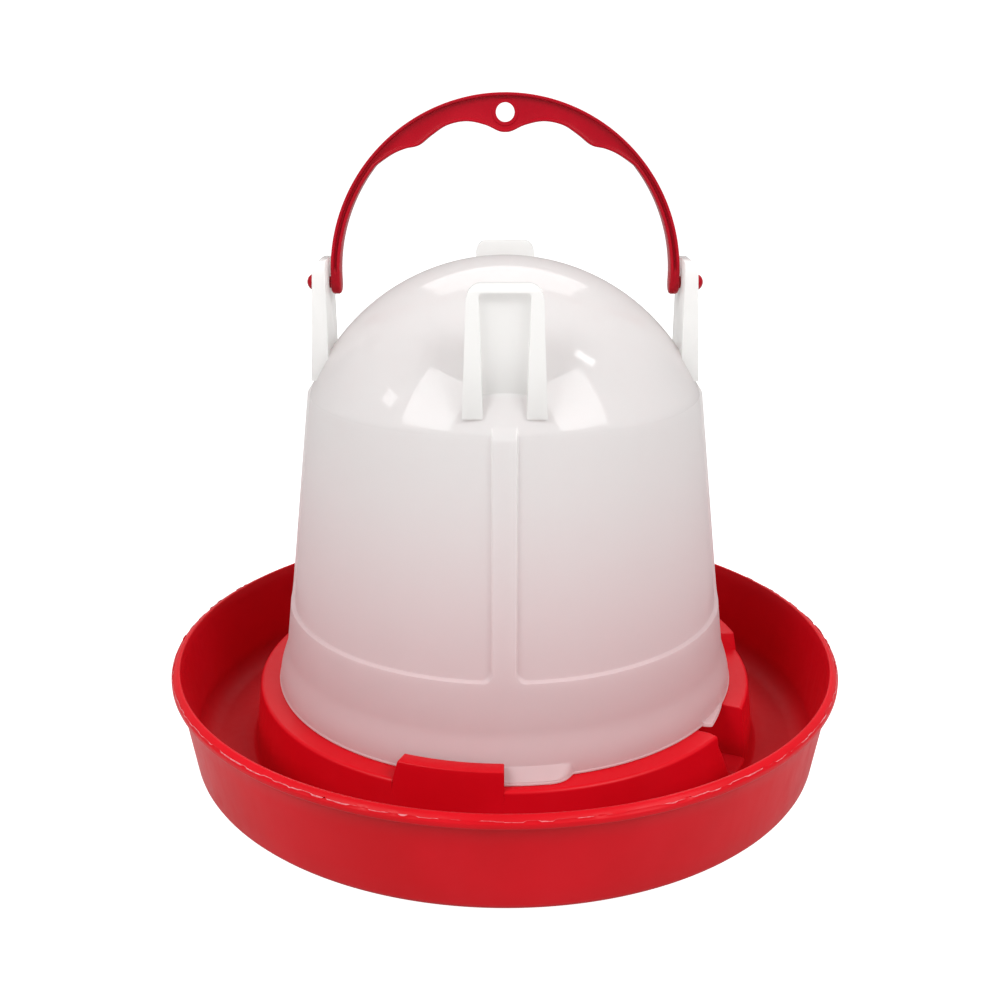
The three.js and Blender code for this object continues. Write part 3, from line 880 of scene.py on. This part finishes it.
def handle_section(inner, outer, filled):
    """The I shaped section between two edges. Filled runs from 0, a full web, to 1, a solid bar."""
    width = math.dist(inner, outer)
    half = HANDLE_DEPTH / 2
    web = mix(HANDLE_WEB / 2, half - 0.02, filled)
    rim = HANDLE_RIM
    edge = 0.35
    side = [(0, half - edge), (edge * 0.3, half - edge * 0.3), (edge, half), (rim - edge, half),
            (rim - edge * 0.3, mix(half, web, 0.1)), (rim, mix(half, web, 0.3)),
            (rim + 0.1, mix(half, web, 0.7)), (rim + 0.25, mix(half, web, 0.92)), (rim + 0.55, web)]
    top = side + [(width - u, y) for u, y in reversed(side)]
    loop = top + [(u, -y) for u, y in reversed(top)]
    ux, uz = (outer[0] - inner[0]) / width, (outer[1] - inner[1]) / width
    return [(inner[0] + ux * u, y, inner[1] + uz * u) for u, y in loop]


def pin_outline():
    """Radius and distance from the middle of the handle's eye, its pin and the pin's domed head."""
    near, far = ARCH_INNER - EYE_PROUD, ARCH_OUTER + EYE_PROUD
    outline = [(EYE_RADIUS - 1.1, near), (EYE_RADIUS - 0.4, mix(near, far, 0.08))]
    outline += [(EYE_RADIUS, mix(near, far, 0.25)), (EYE_RADIUS, mix(near, far, 0.75))]
    outline += [(EYE_RADIUS - 0.4, mix(near, far, 0.92)), (EYE_RADIUS - 1.1, far)]
    head = leg_outer(PIVOT) + 0.4
    outline += [(PIN_RADIUS, far), (PIN_RADIUS, head), (PIN_HEAD - 0.2, head), (PIN_HEAD, head + 0.3)]
    dome_foot = head + 0.6
    for i in range(6):
        a = math.radians(15 * i)
        outline.append((PIN_HEAD * math.cos(a), dome_foot + (PIN_END - dome_foot) * math.sin(a)))
    return outline + [(0, PIN_END)]


def handle_moulding():
    half = handle_inner_half()
    path = half + [(-x, z) for x, z in reversed(half[:-1])]
    lines = []
    for point in path:
        filled = smooth(PIVOT + 6.5, PIVOT + 4.5, point[1])
        section = handle_section(point, outer_partner(point), filled)
        lines.append(section + section[:1])
    skin = Skin()
    skin.grid(lines)
    skin.face(lines[0][:-1])
    skin.face(lines[-1][:-1][::-1])
    piece = skin.build("handle_moulding")
    for side in (-1, 1):
        outline = [(r, side * x) for r, x in pin_outline()]
        combined(piece, turned_about("pin", outline, 0, (0, 0, PIVOT)), "UNION")
    thick = HANDLE_WEB / 2 + HOLE_PROUD
    radius = HOLE_RADIUS + HOLE_BOSS
    edge = 0.3
    outline = [(radius - edge, -thick), (radius, -thick + edge)]
    outline += [(radius, thick - edge), (radius - edge, thick)]
    combined(piece, turned_about("boss", outline, 1, (0, 0, HOLE_HEIGHT)), "UNION")
    hole = turned_about("hole", [(HOLE_RADIUS, -8), (HOLE_RADIUS, 8)], 1, (0, 0, HOLE_HEIGHT))
    return combined(piece, hole, "DIFFERENCE")


# ---------- materials ----------

class Nodes:
    """Short names for adding and linking the nodes of one material."""

    def __init__(self, name):
        self.material = bpy.data.materials.new(name)
        self.material.use_nodes = True
        self.tree = self.material.node_tree
        self.tree.nodes.clear()
        self.place = self.add("ShaderNodeTexCoord").outputs["Object"]

    def add(self, kind, inputs=None, **settings):
        node = self.tree.nodes.new(kind)
        for key, value in settings.items():
            setattr(node, key, value)
        for key, value in (inputs or {}).items():
            self.give(node.inputs[key], value)
        return node

    def give(self, socket, value):
        if isinstance(value, bpy.types.NodeSocket):
            self.tree.links.new(value, socket)
        else:
            socket.default_value = value

    def maths(self, operation, a, b=0.0):
        return self.add("ShaderNodeMath", {0: a, 1: b}, operation=operation).outputs[0]

    def noise(self, scale, detail=3.0, roughness=0.55, stretch=(1, 1, 1)):
        place = self.add("ShaderNodeMapping", {"Vector": self.place, "Scale": stretch}).outputs[0]
        return self.add("ShaderNodeTexNoise", {
            "Vector": place, "Scale": scale, "Detail": detail, "Roughness": roughness,
        }).outputs["Fac"]

    def span(self, value, low, high, to_low=0.0, to_high=1.0):
        """A smooth ramp between two values."""
        return self.add("ShaderNodeMapRange", {
            "Value": value, "From Min": low, "From Max": high, "To Min": to_low, "To Max": to_high,
        }, interpolation_type="SMOOTHSTEP").outputs[0]

    def blend(self, factor, a, b):
        return self.add("ShaderNodeMix", {0: factor, 6: a, 7: b}, data_type="RGBA").outputs[2]

    def bump(self, height, strength, distance, normal=None):
        inputs = {"Height": height, "Strength": strength, "Distance": distance}
        if normal is not None:
            inputs["Normal"] = normal
        return self.add("ShaderNodeBump", inputs).outputs[0]

    def finish(self, shader):
        self.add("ShaderNodeOutputMaterial", {"Surface": shader})
        return self.material


def radius_and_height(n):
    parts = n.add("ShaderNodeSeparateXYZ", {0: n.place})
    square = n.maths("ADD", n.maths("MULTIPLY", parts.outputs[0], parts.outputs[0]),
                     n.maths("MULTIPLY", parts.outputs[1], parts.outputs[1]))
    return n.maths("SQRT", square), parts.outputs[2]


def red_plastic(name, base, deep, flash=False):
    """Glossy red polypropylene with faint flow marks, fine grain and rubbed patches.

    With flash, also the tray's rim flash, pale partly from stress whitening and partly as a painted
    highlight, and a rougher trough floor darkened with painted shade.
    """
    n = Nodes(name)
    cloud = n.span(n.noise(14, 4), 0.3, 0.7)
    colour = n.blend(cloud, deep, base)
    streaks = n.span(n.noise(40, 3, 0.5, (1, 1, 0.15)), 0.4, 0.8)
    colour = n.blend(n.maths("MULTIPLY", streaks, 0.06), colour, (0.72, 0.03, 0.05, 1))
    if flash:
        radius, height = radius_and_height(n)
        # the flash alone stands above this slanting line across the rim's section
        lean = 0.9
        over = n.maths("ADD", height, n.maths("MULTIPLY", radius, lean))
        ridge = n.maths("MULTIPLY", n.span(over, 0.18425, 0.18445), n.span(radius, 0.1546, 0.1548))
        ragged = n.span(n.noise(500, 2), 0.35, 0.65, 0.25, 0.6)
        # the flash is paled to pink, partly stress whitening of the trimmed edge and partly a painted
        # highlight along the ridge
        colour = n.blend(n.maths("MULTIPLY", ridge, ragged), colour, (0.86, 0.42, 0.46, 1))
    grain = n.noise(1500, 2)
    scuffs = n.noise(260, 3, 0.5, (1, 1, 0.3))
    rough = n.maths("ADD", n.span(n.noise(20, 2), 0.2, 0.8, 0.26, 0.36), n.span(scuffs, 0.2, 0.9, 0, 0.08))
    if flash:
        # the trough floor: rougher, and its colour darkened with painted shade
        inside = n.span(radius, 0.1465, 0.1478, 1, 0)
        trough_dull_and_shade = n.maths("MULTIPLY", inside, n.span(height, 0.010, 0.018, 1, 0))
        rough = n.maths("ADD", rough, n.maths("MULTIPLY", trough_dull_and_shade, 0.25))
        # painted shade: the trough floor's colour is pulled towards a deep red, where the walls and the
        # fount shut out the light
        colour = n.blend(n.maths("MULTIPLY", trough_dull_and_shade, 0.4), colour, (0.34, 0.001, 0.004, 1))
    normal = n.bump(grain, 0.10, 0.00004)
    normal = n.bump(n.noise(14, 1), 0.10, 0.0012, normal)
    shader = n.add("ShaderNodeBsdfPrincipled", {
        "Base Color": colour, "Roughness": rough, "Normal": normal, "IOR": 1.49, "Specular IOR Level": 0.15,
    })
    return n.finish(shader.outputs[0])


def milky_plastic(name, top, foot, pass_through):
    """Translucent polyethylene, milky at the top and shifting to the foot colour low down; on the fount
    that foot colour is a painted pink glow standing in for red light from the tray.
    """
    n = Nodes(name)
    _, height = radius_and_height(n)
    # painted glow: the colour turns to the foot colour towards the foot, standing in for red light thrown
    # up from the tray
    red_glow_fade = n.span(height, 0.03, 0.17)
    colour = n.blend(red_glow_fade, foot, top)
    haze = n.span(n.noise(30, 5, 0.6, (1, 1, 0.4)), 0.35, 0.75)
    colour = n.blend(n.maths("MULTIPLY", haze, 0.10), colour, (0.93, 0.88, 0.88, 1))
    satin = n.span(height, 0.168, 0.1705, 0.24, 0.0)
    rough = n.maths("ADD", n.span(n.noise(25, 4), 0.3, 0.7, 0.04, 0.09), satin)
    rough = n.maths("ADD", rough, n.span(n.noise(300, 5, 0.7, (1, 1, 0.25)), 0.6, 0.85, 0, 0.06))
    normal = n.bump(n.noise(1300, 2), 0.05, 0.00005)
    normal = n.bump(n.noise(24, 2), 0.08, 0.0008, normal)
    shader = n.add("ShaderNodeBsdfPrincipled", {
        "Base Color": colour, "Roughness": rough, "Normal": normal, "IOR": 1.5,
    })
    through = n.add("ShaderNodeBsdfTranslucent", {"Color": colour, "Normal": normal})
    both = n.add("ShaderNodeMixShader", {0: pass_through, 1: shader.outputs[0], 2: through.outputs[0]})
    return n.finish(both.outputs[0])


def floor_paint():
    """Pale paint that glows: bright to the camera and dimmer to the object."""
    n = Nodes("floor_paint")
    tone = n.blend(n.noise(3, 3), (0.38, 0.38, 0.38, 1), (0.42, 0.42, 0.42, 1))
    seen = n.add("ShaderNodeLightPath").outputs["Is Camera Ray"]
    glow = n.maths("ADD", n.maths("MULTIPLY", seen, 0.7), 0.25)
    shader = n.add("ShaderNodeBsdfPrincipled", {
        "Base Color": tone, "Roughness": 0.8, "Specular IOR Level": 0.0,
        "Emission Color": (1, 1, 1, 1), "Emission Strength": glow,
    })
    return n.finish(shader.outputs[0])


# ---------- pieces ----------

def dress(piece, material, body, slot, *nodes):
    """Gives a piece its material and body, and hides the CAD nodes it stands for."""
    piece.data.materials.clear()
    piece.data.materials.append(material)
    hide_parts(*nodes)
    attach(piece, body)


tray_red = red_plastic("tray_red", (0.61, 0.0025, 0.010, 1), (0.54, 0.002, 0.007, 1), flash=True)
handle_red = red_plastic("handle_red", (0.41, 0.003, 0.013, 1), (0.34, 0.002, 0.010, 1))
# the fount's pink foot colour is a painted glow of red light from the tray
fount_white = milky_plastic("fount_white", (0.93, 0.93, 0.925, 1), (0.91, 0.76, 0.77, 1), 0.6)
leg_white = milky_plastic("leg_white", (0.96, 0.96, 0.95, 1), (0.95, 0.94, 0.93, 1), 0.55)

dress(tray_moulding(), tray_red, "tray", "tray_plastic", "tray_basin", "ledge_ring", "centre_floor",
      "locking_hook_front", "locking_hook_right", "locking_hook_left")
dress(fount_moulding(), fount_white, "fount", "fount_plastic", "fount_shell",
      "locking_lug_front", "locking_lug_right", "locking_lug_left")
for quarter, side in enumerate(("front", "right", "back", "left")):
    dress(leg(f"moulded_leg_{side}", quarter), leg_white, "fount", "leg_plastic", f"leg_{side}")
dress(handle_moulding(), handle_red, "handle", "handle_plastic",
      "handle_bow", "handle_pin_right", "handle_pin_left")


# ---------- floor, light and camera ----------

def studio_floor():
    """A pale round floor that sweeps up into a backdrop on every side."""
    reach, bend, rise = 4500, 1500, 5000
    profile = [(0, 0), (400, 0), (reach - bend, 0)]
    profile += [(reach - bend + bend * math.sin(math.radians(a)), bend - bend * math.cos(math.radians(a)))
                for a in range(10, 91, 10)]
    profile.append((reach, rise))
    skin = Skin()
    turns = 72
    skin.grid([[polar(r, z, 360 // turns * i) for r, z in profile] for i in range(turns)], closed=True)
    floor = skin.build("studio_floor")
    floor.data.materials.append(floor_paint())


def softbox(name, place, aim, width, height, power):
    light = bpy.data.lights.new(name, "AREA")
    light.shape = "RECTANGLE"
    light.size = width
    light.size_y = height
    light.energy = power
    lamp = bpy.data.objects.new(name, light)
    lamp.location = place
    lamp.rotation_euler = (Vector(aim) - Vector(place)).to_track_quat("-Z", "Y").to_euler()
    bpy.context.scene.collection.objects.link(lamp)


def studio_light():
    """Two large softboxes in front, a fill behind and two small lights that glint on the dome."""
    world = bpy.data.worlds.new("studio")
    world.use_nodes = True
    background = world.node_tree.nodes["Background"]
    background.inputs["Color"].default_value = (1, 1, 1, 1)
    background.inputs["Strength"].default_value = 0.45
    bpy.context.scene.world = world
    dome_middle = (0, -0.06, 0.17)
    for side in (-1, 1):
        softbox(f"softbox_{side}", (side * 0.83, -0.77, 1.12), dome_middle, 0.72, 0.74, 13)
    softbox("back_fill", (0, 1.3, 1.5), dome_middle, 1.4, 0.9, 11)
    softbox("glint_left", (-1.30, -0.28, 0.98), dome_middle, 0.22, 0.16, 0.8)
    softbox("glint_right", (0.90, -0.15, 1.41), dome_middle, 0.12, 0.24, 1.6)


def camera():
    """A camera in front, a little above the dome's middle and looking down at it."""
    dip = 0.3162
    swing = 0.0046
    data = bpy.data.cameras.new("camera")
    data.sensor_width = 36
    data.lens = 42.508
    eye = bpy.data.objects.new("camera", data)
    eye.location = (0, -0.5219, 0.2863)
    eye.rotation_euler = (math.radians(90) - dip, 0, swing)
    bpy.context.scene.collection.objects.link(eye)
    bpy.context.scene.camera = eye


studio_floor()
studio_light()
camera()
bpy.context.scene.view_settings.view_transform = "Standard"
